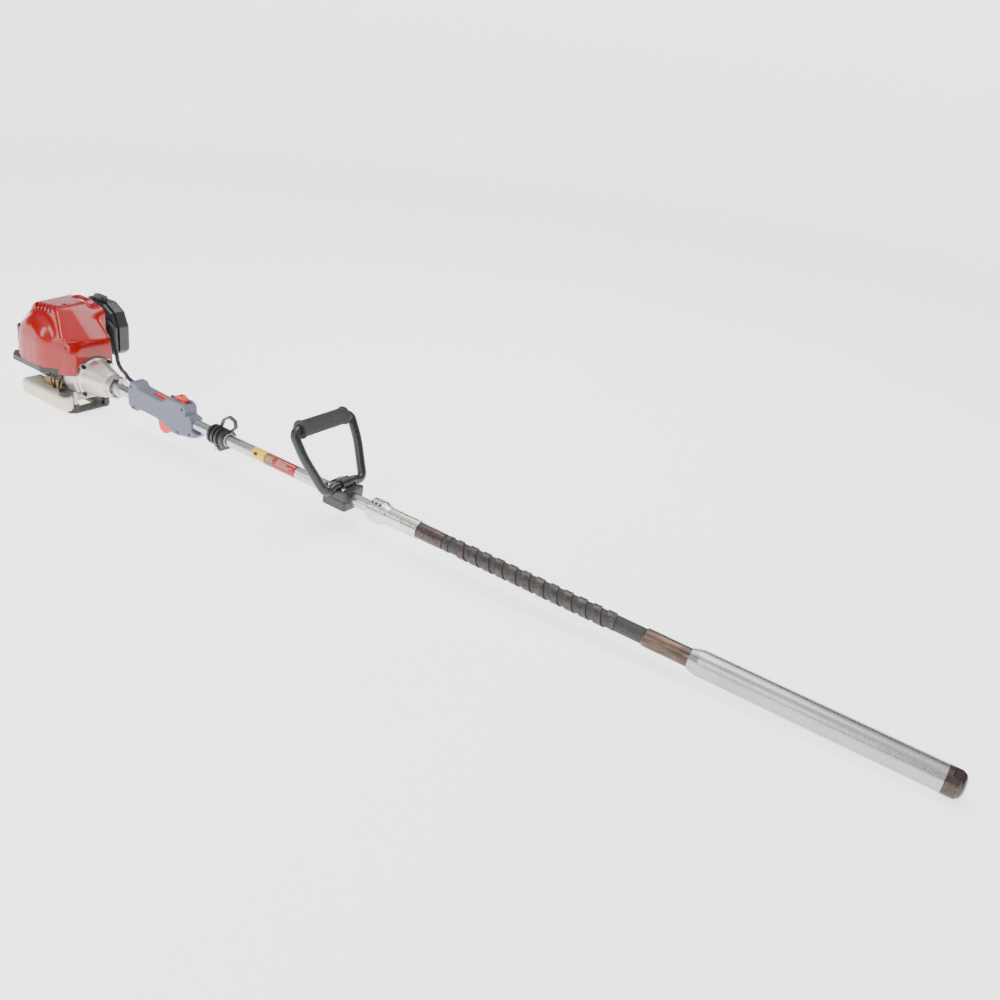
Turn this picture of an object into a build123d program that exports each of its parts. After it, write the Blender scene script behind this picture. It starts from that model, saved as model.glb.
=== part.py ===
"""Hand-held petrol concrete vibrator: engine, tube, grip, handles, hose and poker head.

Everything is drawn in the shaft frame: the X axis is the crankshaft, drive shaft and poker
axis, X = 0 is the front rim of the clutch housing, +X points to the poker tip, +Z is up and
-Y is the muffler side. stand() then rests each finished piece on the floor, with the tank
guard flat on z = 0 and the poker tip touching it.
"""
from build123d import *
import math
import os

os.makedirs("parts", exist_ok=True)

# ---------------------------------------------------------------- driving dimensions, mm
tube_r = 13.0
tube_bore_r = 11.5
tube_start = -26.0
tube_end = 800.0
running_gap = 0.05

journal_r = 6.0
bearing_r = 14.0
crank_throw = 15.0
cylinder_x = -168.0
case_rear = -205.0
case_front = -126.0
case_wall = 8.0
fan_front = -86.0
cowl_screw_x = -158.0
cowl_screw_y = -22.0
drum_r = 39.0

guard_depth = 88.0
base_x = -150.0
head_r = 22.5
head_touch_x = 1842.0
rest_tilt = math.degrees(math.atan2(guard_depth - head_r, head_touch_x - base_x))

grip_half_width = 17.0
hanger_x = 338.0
loop_x = 685.0
loop_lean = 31.3
hose_r = 14.0
core_r = 5.0
core_bore_r = 7.0
bend_x = 1150.0
seat_gap = 0.3
wrap_pitch = 28.4
wrap_width = 17.0
wrap_thick = 2.2

REST = Location((0, 0, 0), (0, rest_tilt, 0)) * Location((-base_x, 0, guard_depth))


def stand(builder, name):
    """Rest a finished piece on the floor, label it and write its STEP file."""
    builder.part.move(REST)
    builder.part.label = name
    export_step(builder.part, f"parts/{name}.step")


def turned(points, mode=Mode.ADD):
    """Solid of revolution about the shaft axis from (x, radius) points."""
    with BuildSketch(Plane.XZ) as profile:
        with BuildLine():
            Polyline(*points, close=True)
        make_face()
    revolve(profile.sketch, axis=Axis.X, mode=mode)


def ring_x(start, end, outer, inner=0.0, mode=Mode.ADD):
    """Round stock or ring on the shaft axis between two X stations."""
    turned([(start, inner), (start, outer), (end, outer), (end, inner)], mode)


def rod(foot, direction, radius, length, mode=Mode.ADD):
    """Round bar from a foot point along a direction."""
    with BuildSketch(Plane(origin=foot, z_dir=direction)) as section:
        Circle(radius)
    extrude(section.sketch, amount=length, mode=mode)


def block(low, high, mode=Mode.ADD, corner=0.0):
    """Rectangular block between two corners, with its upright edges rounded."""
    size = [b - a for a, b in zip(low, high)]
    centre = ((low[0] + high[0]) / 2, (low[1] + high[1]) / 2, low[2])
    with BuildSketch(Plane(origin=centre)) as section:
        if corner > 0:
            RectangleRounded(size[0], size[1], corner)
        else:
            Rectangle(size[0], size[1])
    extrude(section.sketch, amount=size[2], mode=mode)


def outline_y(points, start, end, radii=0.0, mode=Mode.ADD):
    """Extrusion across the machine, from Y start to Y end, of an (x, z) outline."""
    with BuildSketch(Plane(origin=(0, start, 0), x_dir=(1, 0, 0), z_dir=(0, -1, 0))) as section:
        with BuildLine():
            Polyline(*points, close=True)
        make_face()
        if radii > 0:
            fillet(section.vertices(), radii)
    extrude(section.sketch, amount=start - end, mode=mode)


def outline_x(points, start, end, radii=0.0, mode=Mode.ADD):
    """Extrusion along the shaft, from X start to X end, of a (y, z) outline."""
    with BuildSketch(Plane.YZ.offset(start)) as section:
        with BuildLine():
            Polyline(*points, close=True)
        make_face()
        if radii > 0:
            fillet(section.vertices(), radii)
    extrude(section.sketch, amount=end - start, mode=mode)


def outline_z(points, start, end, radii=0.0, mode=Mode.ADD):
    """Upright extrusion, from Z start to Z end, of an (x, y) outline."""
    with BuildSketch(Plane.XY.offset(start)) as section:
        with BuildLine():
            Polyline(*points, close=True)
        make_face()
        if radii > 0:
            fillet(section.vertices(), radii)
    extrude(section.sketch, amount=end - start, mode=mode)


def socket_screw(head, direction, head_r, shank_r, head_h, shank_l):
    """Cap screw: the head starts at head, stands out along direction, the shank goes back."""
    back = tuple(-v for v in direction)
    rod(head, direction, head_r, head_h)
    rod(head, back, shank_r, shank_l)
    top = tuple(p + v * head_h for p, v in zip(head, direction))
    with BuildSketch(Plane(origin=top, z_dir=back)) as key:
        RegularPolygon(head_r * 0.5, 6)
    extrude(key.sketch, amount=head_h * 0.5, mode=Mode.SUBTRACT)


# ---------------------------------------------------------------- engine core
case_half = 33.0
case_floor = -48.0
seat_z = 44.0
cavity_r = 33.0

with BuildPart() as crankcase:
    ring_x(case_rear, case_front, 40)
    case_outline = [(-case_half, 0), (case_half, 0), (case_half, seat_z), (-case_half, seat_z)]
    outline_x(case_outline, case_rear, case_front)
    outline_x([(-30, case_floor), (30, case_floor), (30, 0), (-30, 0)], case_rear, case_front, 6)
    ring_x(case_rear + case_wall, case_front - case_wall, cavity_r, mode=Mode.SUBTRACT)
    rod((cylinder_x, 0, 10), (0, 0, 1), 24.5, 40, mode=Mode.SUBTRACT)
    ring_x(case_rear - 1, case_front + 1, bearing_r, mode=Mode.SUBTRACT)
stand(crankcase, "crankcase")

with BuildPart() as engine_bearings:
    for start, end in ((case_rear, case_rear + case_wall), (case_front - case_wall, case_front),
                       (-64, -48)):
        ring_x(start, end, bearing_r, journal_r + running_gap)
stand(engine_bearings, "engine_bearings")

bore_r = 19.5
head_z = 88.0
plug_axis = Vector(0.3, 0.86, 0.42).normalized()
plug_seat = Vector(cylinder_x + 6, 10, 92)
fin_count = 8
with BuildPart() as cylinder:
    rod((cylinder_x, 0, 30), (0, 0, 1), 24, 62)
    block((cylinder_x - 32, -32, seat_z), (cylinder_x + 32, 32, seat_z + 5), corner=6)
    for fin in range(fin_count):
        fin_z = seat_z + 10 + fin * 5
        block((cylinder_x - 36, -36, fin_z), (cylinder_x + 36, 36, fin_z + 2), corner=8)
    block((cylinder_x - 33, -33, 90), (cylinder_x + 33, 33, 112), corner=8)
    rod((cylinder_x, 0, 30), (0, 0, 1), bore_r, head_z - 30, mode=Mode.SUBTRACT)
    rod(plug_seat, plug_axis, 5.0, 45, mode=Mode.SUBTRACT)
    block((cylinder_x - 31, -31, 112), (cylinder_x + 20, 31, 132), corner=10)
    block((cylinder_x - 28, -28, 112), (cylinder_x + 17, 28, 129.5), corner=8, mode=Mode.SUBTRACT)
    fillet(cylinder.faces().sort_by(Axis.Z)[-1].edges(), 3)
stand(cylinder, "cylinder")

piston_low = crank_throw + 43
with BuildPart() as piston:
    rod((cylinder_x, 0, piston_low), (0, 0, 1), bore_r - 0.1, 26)
    rod((cylinder_x, 0, piston_low), (0, 0, 1), bore_r - 3, 21, mode=Mode.SUBTRACT)
    rod((cylinder_x, -bore_r + 1, piston_low + 10), (0, 1, 0), 5, 2 * bore_r - 2)
stand(piston, "piston")

pin_r = 6.5
pin_half = 9.7
rod_eye = 11.0
with BuildPart() as connecting_rod:
    rod((cylinder_x - 6, 0, crank_throw), (1, 0, 0), rod_eye, 12)
    block((cylinder_x - 3, -5, crank_throw + 8), (cylinder_x + 3, 5, piston_low + 4))
    rod((cylinder_x - pin_half, 0, crank_throw), (1, 0, 0), pin_r, 2 * pin_half)
stand(connecting_rod, "connecting_rod")


def crank_web(start, end):
    """Crank web: a round cheek for the pin with a heavy side opposite it."""
    with BuildSketch(Plane.YZ.offset(start)) as web:
        Circle(28)
        with Locations((22, 18), (-22, 18)):
            Rectangle(20, 40, mode=Mode.SUBTRACT)
    extrude(web.sketch, amount=end - start)


web_gap = 10.0
with BuildPart() as crankshaft:
    crank_web(cylinder_x + web_gap, cylinder_x + web_gap + 12)
    ring_x(cylinder_x + web_gap + 12, -92, journal_r)
    ring_x(-102, -100.5, 9.5)
    crank_web(cylinder_x - web_gap - 12, cylinder_x - web_gap)
    ring_x(-226, cylinder_x - web_gap - 12, journal_r)
    ring_x(-226, -214, 14)
stand(crankshaft, "crankshaft")

blade_count = 20
with BuildPart() as flywheel:
    ring_x(-120, -113, 46, journal_r)
    ring_x(-113, -102, 13, journal_r)
    for blade in range(blade_count):
        with BuildSketch(Plane.YZ.offset(-113)) as blade_foot:
            with PolarLocations(0, 1, blade * 360 / blade_count):
                with Locations(Location((35, 0, 0), 25)):
                    Rectangle(20, 2.2)
        extrude(blade_foot.sketch, amount=11)
stand(flywheel, "flywheel")

# ---------------------------------------------------------------- clutch
shoe_r = drum_r - 3.0
with BuildPart() as clutch_shoes:
    with BuildSketch(Plane.YZ.offset(-100.5)) as shoe_pair:
        Circle(shoe_r)
        Circle(22, mode=Mode.SUBTRACT)
        Rectangle(90, 6, mode=Mode.SUBTRACT)
        Rectangle(14, 90, mode=Mode.SUBTRACT)
        Circle(24)
        Circle(journal_r, mode=Mode.SUBTRACT)
    extrude(shoe_pair.sketch, amount=16)
stand(clutch_shoes, "clutch_shoes")

with BuildPart() as clutch_drum:
    ring_x(-98, -80, drum_r, drum_r - 1.6)
    ring_x(-82, -80, drum_r, 0)
    ring_x(-80, -34, journal_r)
    ring_x(-80, -66, 10)
stand(clutch_drum, "clutch_drum")

fan_r = 53.0
with BuildPart() as fan_housing:
    turned([(case_front, 20), (case_front, fan_r), (-102, fan_r), (-92, 51), (fan_front, 46.5),
            (fan_front, 41.5), (-94, 45), (-104, 49), (case_front + 4, 49), (case_front + 4, 20)])
    for side in (-1, 1):
        rod((-106, side * 40, -66), (0, 0, 1), 6, 32)
    ring_x(case_front + 4, fan_front, 49, mode=Mode.SUBTRACT)
    turned([(-104, 46), (-104, 53), (-102, fan_r), (-92, 51), (fan_front, 46.5), (fan_front, 41.5),
            (-94, 45)])
    lug_r = 47.0
    for turn in range(4):
        angle = math.radians(45 + 90 * turn)
        spot = (-98, lug_r * math.cos(angle), lug_r * math.sin(angle))
        rod(spot, (1, 0, 0), 6.5, fan_front + 98)
stand(fan_housing, "fan_housing")

rim_r = 27.0
with BuildPart() as clutch_housing:
    turned([(fan_front, 0), (fan_front, 46.5), (-80, 46.5), (-76, 43), (-22, 29), (-16, rim_r),
            (0, rim_r), (0, 0)])
    for turn in range(4):
        angle = math.radians(45 + 90 * turn)
        spot = (fan_front, lug_r * math.cos(angle), lug_r * math.sin(angle))
        rod(spot, (1, 0, 0), 6.5, 7)
    ring_x(0, 15, 18)
    outline_x([(-8, 14), (8, 14), (8, 27), (-8, 27)], 1, 15, 2)
    turned([(fan_front - 1, 0), (fan_front - 1, 41.5), (-79, 41.5), (-70, 38), (-64, 20),
            (-64, 0)], mode=Mode.SUBTRACT)
    ring_x(-65, -46, bearing_r, mode=Mode.SUBTRACT)
    ring_x(-47, -20, 8, mode=Mode.SUBTRACT)
    ring_x(tube_start, 16, tube_r, mode=Mode.SUBTRACT)
    turned([(-14, 18), (-14, 22.5), (1, 23.5), (1, 18)], mode=Mode.SUBTRACT)
    block((0.5, -1, 8), (16, 1, 30), mode=Mode.SUBTRACT)
    rod((8, -30, 21.5), (0, 1, 0), 2.6, 60, mode=Mode.SUBTRACT)
    for turn in range(4):
        angle = math.radians(45 + 90 * turn)
        side = Vector(0, lug_r * math.cos(angle), lug_r * math.sin(angle))
        rod(side + Vector(fan_front - 1, 0, 0), (1, 0, 0), 2.5, 12, mode=Mode.SUBTRACT)
        rod(side + Vector(-79, 0, 0), (1, 0, 0), 5.2, 12, mode=Mode.SUBTRACT)
stand(clutch_housing, "clutch_housing")

with BuildPart() as engine_screws:
    for turn in range(4):
        angle = math.radians(45 + 90 * turn)
        spot = (-79, lug_r * math.cos(angle), lug_r * math.sin(angle))
        socket_screw(spot, (1, 0, 0), 4.6, 2.5, 5, 7)
    socket_screw((8, -8, 21.5), (0, -1, 0), 4.5, 2.6, 5, 21)
    rod((cowl_screw_x, cowl_screw_y, 149), (0, 0, 1), 5.2, 3)
    rod((cowl_screw_x, cowl_screw_y, 133), (0, 0, 1), 2.5, 16)
stand(engine_screws, "engine_screws")

# ---------------------------------------------------------------- recoil starter
recoil_r = 47.0
reel_r = 34.0
rope_z = 26.0
rope_x = -240.0
pull = Vector(-0.12, 1, 0.25).normalized()
rope_exit = Vector(rope_x, 38, rope_z)
with BuildPart() as recoil_housing:
    turned([(case_rear, 0), (case_rear, recoil_r), (-250, recoil_r), (-262, 40), (-268, 28),
            (-268, 0)])
    turned([(case_rear + 1, 0), (case_rear + 1, recoil_r - 3), (-249, recoil_r - 3), (-259, 38),
            (-265, 27), (-265, 0)], mode=Mode.SUBTRACT)
    ring_x(-266, -228, 5)
    for slot in range(10):
        with BuildSketch(Plane.YZ.offset(-270)) as vent:
            with PolarLocations(0, 1, slot * 36 + 18):
                with Locations((18.5, 0)):
                    SlotOverall(14, 4)
        extrude(vent.sketch, amount=12, mode=Mode.SUBTRACT)
    rod(rope_exit, pull, 7.5, 14)
    rod(rope_exit - pull * 20, pull, 3.5, 60, mode=Mode.SUBTRACT)
stand(recoil_housing, "recoil_housing")

with BuildPart() as recoil_reel:
    ring_x(-250, -230, reel_r, 5 + running_gap)
    ring_x(-244, -236, reel_r + 1, reel_r - 8, mode=Mode.SUBTRACT)
stand(recoil_reel, "recoil_reel")

with BuildPart() as starter_grip:
    grip_foot = rope_exit + pull * 15
    with BuildSketch(Plane(origin=grip_foot, x_dir=(1, 0, 0), z_dir=pull)) as grip_face:
        RectangleRounded(34, 14, 6)
    extrude(grip_face.sketch, amount=16)
    fillet(starter_grip.edges().filter_by(GeomType.LINE, reverse=True), 2)
    rod(rope_exit - pull * 2, pull, 1.75, 18)
stand(starter_grip, "starter_grip")

# ---------------------------------------------------------------- exhaust, intake, ignition
with BuildPart() as muffler:
    block((-248, -86, 32), (-150, -44, 98), corner=12)
    fillet(muffler.faces().sort_by(Axis.Z)[-1].edges(), 6)
    rod((-168, -36.5, 70), (0, -1, 0), 11, 12)
    rod((-255, -72, 60), (1, 0, 0), 6, 12)
    block((-244, -82, 36), (-154, -48, 94), corner=8, mode=Mode.SUBTRACT)
    rod((-256, -72, 60), (1, 0, 0), 4.5, 14, mode=Mode.SUBTRACT)
    rod((-168, -36, 70), (0, -1, 0), 8, 14, mode=Mode.SUBTRACT)
stand(muffler, "muffler")

with BuildPart() as carburetor:
    block((-186, 42, 52), (-150, 78, 90), corner=4)
    rod((-168, 36.5, 70), (0, 1, 0), 12, 6)
    rod((-168, 60, 30), (0, 0, 1), 15, 24)
    rod((-168, 30, 70), (0, 1, 0), 7, 60, mode=Mode.SUBTRACT)
    rod((-168, 60, 25), (0, 0, 1), 10.4, 10.5, mode=Mode.SUBTRACT)
stand(carburetor, "carburetor")

air_low = (-226, 78, 26)
air_high = (-110, 118, 146)
air_split = 88.0
air_hinge_z = 23.0
cover_profile = [(air_low[0], 26), (-124, 26), (air_high[0], 38), (air_high[0], 96), (-126, 130),
                 (-156, air_high[2]), (air_low[0], air_high[2])]
inner_profile = [(air_low[0] + 4, 30), (-125, 30), (air_high[0] - 4, 40), (air_high[0] - 4, 95),
                 (-129, 127), (-157, air_high[2] - 4), (air_low[0] + 4, air_high[2] - 4)]
with BuildPart() as air_cleaner_base:
    outline_y(inner_profile, air_low[1], air_split - 0.3, 6)
    rod((-168, 70, 70), (0, 1, 0), 9, 30, mode=Mode.SUBTRACT)
    rod((-226, 83, 60), (1, 0, 0), 2.5 + running_gap, 14, mode=Mode.SUBTRACT)
stand(air_cleaner_base, "air_cleaner_base")

with BuildPart() as filter_element:
    block((-208, air_split, 46), (-136, air_split + 18, 120), corner=8)
stand(filter_element, "filter_element")

with BuildPart() as air_cleaner_cover:
    outline_y(cover_profile, air_split, air_high[1], 10)
    fillet(air_cleaner_cover.faces().sort_by(Axis.Y)[-1].edges(), 8)
    outline_y(inner_profile, air_split - 1, air_high[1] - 5, 6, mode=Mode.SUBTRACT)
    block((-204, air_split, air_high[2] - 3), (-168, air_split + 14, air_high[2] + 9), corner=3)
    rod((-214, air_split + 6, air_hinge_z), (1, 0, 0), 4, 84)
    rod((-215, air_split + 6, air_hinge_z), (1, 0, 0), 2, 86, mode=Mode.SUBTRACT)
stand(air_cleaner_cover, "air_cleaner_cover")

with BuildPart() as choke_lever:
    rod((-226, 83, 60), (1, 0, 0), 2.5, 14)
    block((-230, 79.5, 57), (-226, 86.5, 90), corner=1.5)
stand(choke_lever, "choke_lever")

with BuildPart() as primer_bulb:
    rod((-168, 60, 18), (0, 0, 1), 10, 11.7)
    fillet(primer_bulb.faces().sort_by(Axis.Z)[0].edges(), 6)
stand(primer_bulb, "primer_bulb")

with BuildPart() as ignition_coil:
    block((-121, -16, 54), (-106, 16, 74), corner=3)
stand(ignition_coil, "ignition_coil")

with BuildPart() as spark_plug:
    rod(plug_seat, plug_axis, 5.0, 27)
    rod(plug_seat + plug_axis * 34, plug_axis, 8, 7)
    rod(plug_seat + plug_axis * 24, plug_axis, 4.5, 26)
    rod(plug_seat + plug_axis * 42, plug_axis, 8.5, 16)
stand(spark_plug, "spark_plug")

# ---------------------------------------------------------------- covers
cowl_wall = 2.5
cowl_low = 24.0
side_view = [(-258, cowl_low), (-258, 96), (-236, 128), (-150, 144), (-92, 84), (-84, 56),
             (-88, 34), (-106, cowl_low)]
end_view = [(-93, cowl_low), (-92, 97), (-66, 134), (40, 144), (62, 120), (62, cowl_low)]
top_view = [(-258, -76), (-246, -91), (-150, -91), (-114, -68), (-84, -54), (-84, 62),
            (-258, 62)]


def cowl_block(inset):
    """Rounded cowl body: side, end and top outlines intersected, drawn in by inset."""
    with BuildSketch(Plane.XZ.offset(-200)) as side:
        with BuildLine():
            Polyline(*side_view, close=True)
        make_face()
        fillet(side.vertices().group_by(Axis.Y)[-1], 18)
        if inset > 0:
            offset(amount=-inset, kind=Kind.INTERSECTION)
    extrude(side.sketch, amount=400)
    with BuildSketch(Plane.YZ.offset(-320)) as end:
        with BuildLine():
            Polyline(*end_view, close=True)
        make_face()
        fillet(end.vertices().group_by(Axis.Y)[-1], 12)
        if inset > 0:
            offset(amount=-inset, kind=Kind.INTERSECTION)
    extrude(end.sketch, amount=300, mode=Mode.INTERSECT)
    with BuildSketch(Plane.XY) as top:
        with BuildLine():
            Polyline(*top_view, close=True)
        make_face()
        fillet(top.vertices(), 10)
        if inset > 0:
            offset(amount=-inset, kind=Kind.INTERSECTION)
    extrude(top.sketch, amount=200, mode=Mode.INTERSECT)


def tapered_block(low, high, top_inset):
    """Raised block between two corners, narrower at its top by top_inset on each side."""
    size = (high[0] - low[0], high[1] - low[1])
    centre = ((low[0] + high[0]) / 2, (low[1] + high[1]) / 2)
    with BuildSketch(Plane.XY.offset(low[2])) as foot:
        with Locations(centre):
            RectangleRounded(size[0], size[1], 12)
    with BuildSketch(Plane.XY.offset(high[2])) as crown:
        with Locations(centre):
            RectangleRounded(size[0] - 2 * top_inset, size[1] - 2 * top_inset, 10)
    loft([foot.sketch.faces()[0], crown.sketch.faces()[0]])


with BuildPart() as cowl_outside:
    cowl_block(0)
    tapered_block((-232, -56, 100), (-112, 46, 156), 12)
    block((-202, 20, 130), (-146, 60, 160), corner=5)

with BuildPart() as cowl_inside:
    cowl_block(cowl_wall)
    tapered_block((-229, -53, 98), (-115, 43, 153.5), 12)
    block((-199.5, 22, 128), (-148.5, 60, 157.5), corner=3)
    block((-256, -88, cowl_low - 2), (-88, 60, cowl_low + 3), corner=20)

with BuildPart() as top_cowl:
    add(cowl_outside.part)
    add(cowl_inside.part, mode=Mode.SUBTRACT)
    block((-300, -120, 0), (0, 120, cowl_low + 1), mode=Mode.SUBTRACT)
    block((-280, 47, 0), (-80, 70, 170), mode=Mode.SUBTRACT)
    ring_x(-100, -70, 50.5, mode=Mode.SUBTRACT)
    ring_x(-130, -80, 56.0, mode=Mode.SUBTRACT)
    ring_x(-300, -220, 49.5, mode=Mode.SUBTRACT)
    for vent in range(5):
        block((-218 + vent * 13, -70, 137), (-212 + vent * 13, -35, 150), mode=Mode.SUBTRACT)
    for vent in range(6):
        block((-272, -84, 36 + vent * 10), (-238, -66, 41 + vent * 10), mode=Mode.SUBTRACT)
    block((-268, -72, 84), (-256.5, -66, 92), corner=1)
    rod((-275, -72, 60), (1, 0, 0), 7.5, 40, mode=Mode.SUBTRACT)
    rod((cowl_screw_x, cowl_screw_y, 145), (0, 0, 1), 7.5, 12)
    rod((cowl_screw_x, cowl_screw_y, 149), (0, 0, 1), 5.2, 12, mode=Mode.SUBTRACT)
    rod((cowl_screw_x, cowl_screw_y, 140), (0, 0, 1), 2.5, 20, mode=Mode.SUBTRACT)
stand(top_cowl, "top_cowl")

with BuildPart() as side_skirt:
    outline_z([(-270, -78), (-250, -95), (-148, -95), (-114, -72), (-112, -62), (-146, -84),
               (-240, -84), (-256, -70), (-256, -50), (-266, -50)], 12, cowl_low + 0.8, 2)
stand(side_skirt, "side_skirt")

# ---------------------------------------------------------------- tank and guard
tank_low = -73.0
tank_plan = [(-252, -82), (-86, -82), (-86, -52), (-129, -50), (-129, 80), (-252, 80)]
cap_spot = (-101, -66)
cap_r = 14.0
neck_r = 10.5
with BuildPart() as fuel_tank:
    outline_z(tank_plan, tank_low, -36, 14)
    fillet(fuel_tank.faces().sort_by(Axis.Z)[-1].edges(), 9)
    fillet(fuel_tank.faces().sort_by(Axis.Z)[0].edges(), 9)
    inner_plan = [(-249, -79), (-89, -79), (-89, -55), (-132, -53), (-132, 77), (-249, 77)]
    outline_z(inner_plan, tank_low + 3, -39, 11, mode=Mode.SUBTRACT)
    block((-252, -37, -55), (-129, 37, -38))
    block((-260, -34, -52), (-120, 34, -30), mode=Mode.SUBTRACT)
    rod((*cap_spot, -42), (0, 0, 1), neck_r, 10)
    rod((*cap_spot, -50), (0, 0, 1), neck_r - 2, 30, mode=Mode.SUBTRACT)
stand(fuel_tank, "fuel_tank")

with BuildPart() as fuel_cap:
    rod((*cap_spot, -35.5), (0, 0, 1), cap_r, 11)
    with BuildSketch(Plane.XY.offset(-36)) as flutes:
        with Locations(cap_spot):
            with PolarLocations(cap_r + 0.6, 18):
                Circle(1.4)
    extrude(flutes.sketch, amount=14, mode=Mode.SUBTRACT)
    rod((*cap_spot, -36), (0, 0, 1), neck_r + 0.3, 7, mode=Mode.SUBTRACT)
stand(fuel_cap, "fuel_cap")

floor_plane = Plane(origin=(base_x, 0, -guard_depth),
                    z_dir=(math.sin(math.radians(-rest_tilt)), 0, math.cos(math.radians(rest_tilt))))
with BuildPart() as tank_guard:
    guard_plan = [(-205, -48), (-150, -54), (-108, -54), (-98, -44), (-98, 42), (-108, 52),
                  (-150, 52), (-205, 46)]
    outline_z(guard_plan, -94, -80, 5)
    for side in (-1, 1):
        block((-114, side * 40 - 8, -81), (-98, side * 40 + 8, -66), corner=5)
    block((-180, -24, -95), (-125, 24, -70), mode=Mode.SUBTRACT, corner=8)
    split(bisect_by=floor_plane, keep=Keep.TOP)
stand(tank_guard, "tank_guard")


# ---------------------------------------------------------------- tube and drive
with BuildPart() as main_tube:
    ring_x(tube_start + 0.5, tube_end, tube_r, tube_bore_r)
stand(main_tube, "main_tube")

shaft_r = 4.0
bushing_length = 14.0
with BuildPart() as tube_bushings:
    for station in (20, 210, 400, 590, 760):
        ring_x(station, station + bushing_length, tube_bore_r, shaft_r + running_gap)
stand(tube_bushings, "tube_bushings")

# ---------------------------------------------------------------- throttle grip
grip_outline = [(56, -16), (56, 16), (60, 34), (67, 41), (82, 41), (92, 31), (150, 28), (172, 28),
                (184, 40), (206, 43), (236, 43), (246, 34), (247, 18), (264, 14), (266, -10),
                (286, -13), (280, -22), (262, -28), (240, -31), (222, -35), (202, -35),
                (184, -26), (150, -19), (96, -18), (84, -25), (66, -25)]
grip_screw_spots = [(69, 28), (76, -18), (236, 30), (222, -27), (259, -20)]


def grip_cavities():
    """Space inside the grip for the tube, trigger, lock-out lever, switch and screws."""
    ring_x(40, 285, tube_r, mode=Mode.SUBTRACT)
    block((130, -7, -45), (196, 7, -14.5), mode=Mode.SUBTRACT)
    block((128, -5.5, 16), (175, 5.5, 40), mode=Mode.SUBTRACT)
    block((180, -4.5, 28), (190, 4.5, 50), mode=Mode.SUBTRACT)
    block((196, -8, 38), (240, 8, 50), mode=Mode.SUBTRACT)
    rod((184, -13, -22), (0, 1, 0), 2.5, 26, mode=Mode.SUBTRACT)
    rod((169, -12, 21), (0, 1, 0), 1.5, 24, mode=Mode.SUBTRACT)
    rod((50, 4, 27), (1, 0, 0), 6.0, 20, mode=Mode.SUBTRACT)
    for spot in grip_screw_spots:
        rod((spot[0], -30, spot[1]), (0, 1, 0), 1.8, 60, mode=Mode.SUBTRACT)
        rod((spot[0], -30, spot[1]), (0, 1, 0), 3.5, 16, mode=Mode.SUBTRACT)


with BuildPart() as grip_near_half:
    outline_y(grip_outline, 0, -grip_half_width, 2)
    fillet(grip_near_half.faces().sort_by(Axis.Y)[0].edges(), 3.5)
    rod((256, -9, 16), (0, -1, 0), 5, 8)
    grip_cavities()
stand(grip_near_half, "grip_near_half")

with BuildPart() as grip_far_half:
    outline_y(grip_outline, grip_half_width, 0, 2)
    fillet(grip_far_half.faces().sort_by(Axis.Y)[-1].edges(), 3.5)
    grip_cavities()
stand(grip_far_half, "grip_far_half")

with BuildPart() as throttle_trigger:
    blade = [(184, -16.5), (178, -17), (160, -20), (146, -22), (146, -36), (152, -48), (164, -53),
             (176, -49), (186, -38), (191, -27), (190, -18)]
    outline_y(blade, 6, -6, 2.5)
    rod((184, -12.5, -22), (0, 1, 0), 2.4, 25)
stand(throttle_trigger, "throttle_trigger")

with BuildPart() as lockout_lever:
    strip = [(131, 27), (133, 31), (160, 31), (170, 28), (173, 21), (169, 17.5), (166, 21),
             (160, 26)]
    outline_y(strip, 4.5, -4.5, 1)
    rod((169, -11.5, 21), (0, 1, 0), 1.42, 23)
stand(lockout_lever, "lockout_lever")

with BuildPart() as hold_button:
    rod((185, 0, 35), (0, 0, 1), 4, 8)
stand(hold_button, "hold_button")

with BuildPart() as stop_switch:
    slider = [(202, 39), (202, 44.4), (207, 45), (213, 51), (221, 53), (228, 47), (230, 44.4),
              (230, 39)]
    outline_y(slider, 7.4, -7.4, 0.8)
    for rib in range(3):
        block((212 + rib * 4, -6, 51), (213.5 + rib * 4, 6, 53.6))
stand(stop_switch, "stop_switch")

cable_r = 4.8
cable_route = [(-150, 60, 100), (-122, 68, 112), (-104, 70, 92), (-101, 70, 50), (-84, 62, 22),
               (-48, 46, 18), (-10, 28, 26), (24, 9, 29), (58, 4, 27)]
with BuildPart() as throttle_cable:
    corners = [Vector(*point) for point in cable_route]
    radii = []
    for before, corner, after in zip(corners, corners[1:], corners[2:]):
        turn = math.radians((corner - before).get_angle(after - corner))
        shorter = min((corner - before).length, (after - corner).length)
        radii.append(0.45 * shorter / math.tan(turn / 2))
    print("throttle cable bend radii, mm:", [round(radius, 1) for radius in radii])
    with BuildLine() as route:
        FilletPolyline(*corners, radius=radii)
    with BuildSketch(Plane(origin=corners[0], z_dir=corners[1] - corners[0])):
        Circle(cable_r)
    sweep(path=route.wires()[0])
    print("throttle cable volume over section times length:",
          throttle_cable.part.volume / (math.pi * cable_r**2 * route.wires()[0].length))
stand(throttle_cable, "throttle_cable")

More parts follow.
